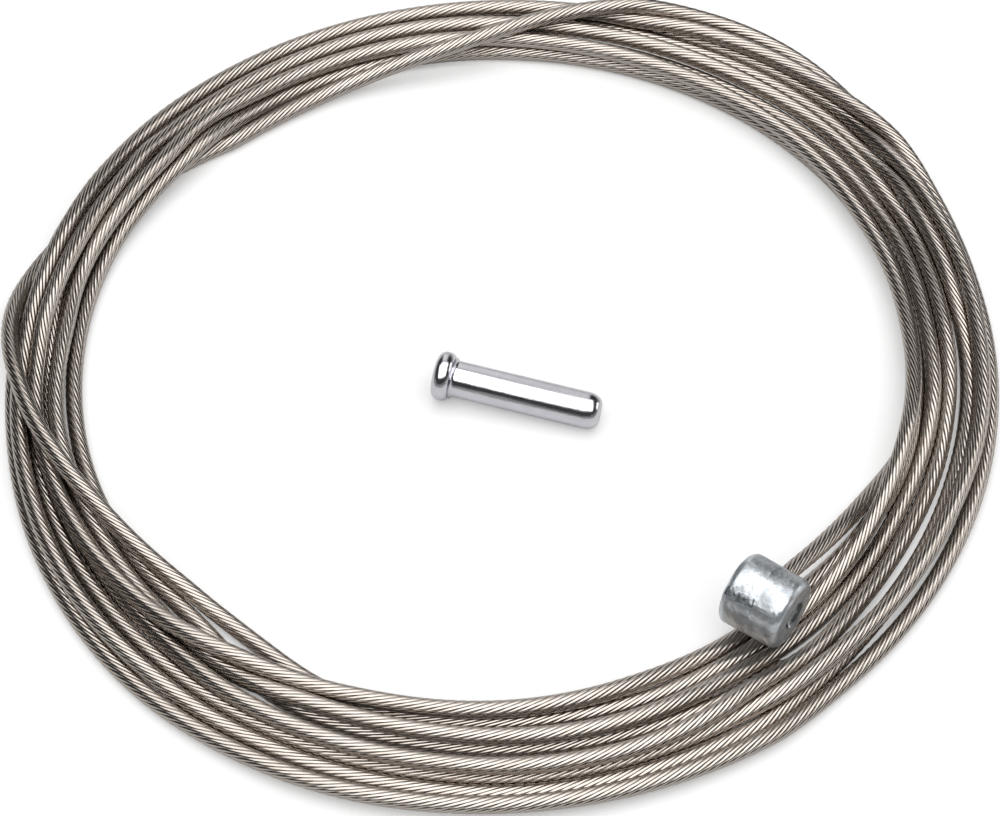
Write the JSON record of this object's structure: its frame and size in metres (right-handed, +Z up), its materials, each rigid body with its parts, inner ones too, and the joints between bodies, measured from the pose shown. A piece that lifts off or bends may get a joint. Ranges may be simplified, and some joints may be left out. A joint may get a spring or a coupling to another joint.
{
  "type": "bicycle brake cable",
  "caption": "Coiled stranded steel brake inner wire with a cast barrel nipple on one end and a loose flanged aluminium end cap lying inside the coil.",
  "frame": {"origin": "on the table, at the middle of the coil's outline box", "axes": "+Z up, square to the coil; -Y towards the side that the nipple lies on and the picture is taken from; +X to the right of that view"},
  "size_m": [0.0908, 0.0925, 0.0086],
  "materials": {
    "strand_steel": "bright drawn stainless strand",
    "cast_zinc": "satin die-cast zinc, slightly mottled",
    "cap_aluminium": "bright drawn aluminium"
  },
  "bodies": {
    "root": {"wire": "strand_steel", "nipple": "cast_zinc", "end_cap": "cap_aluminium"}
  },
  "joints": []
}
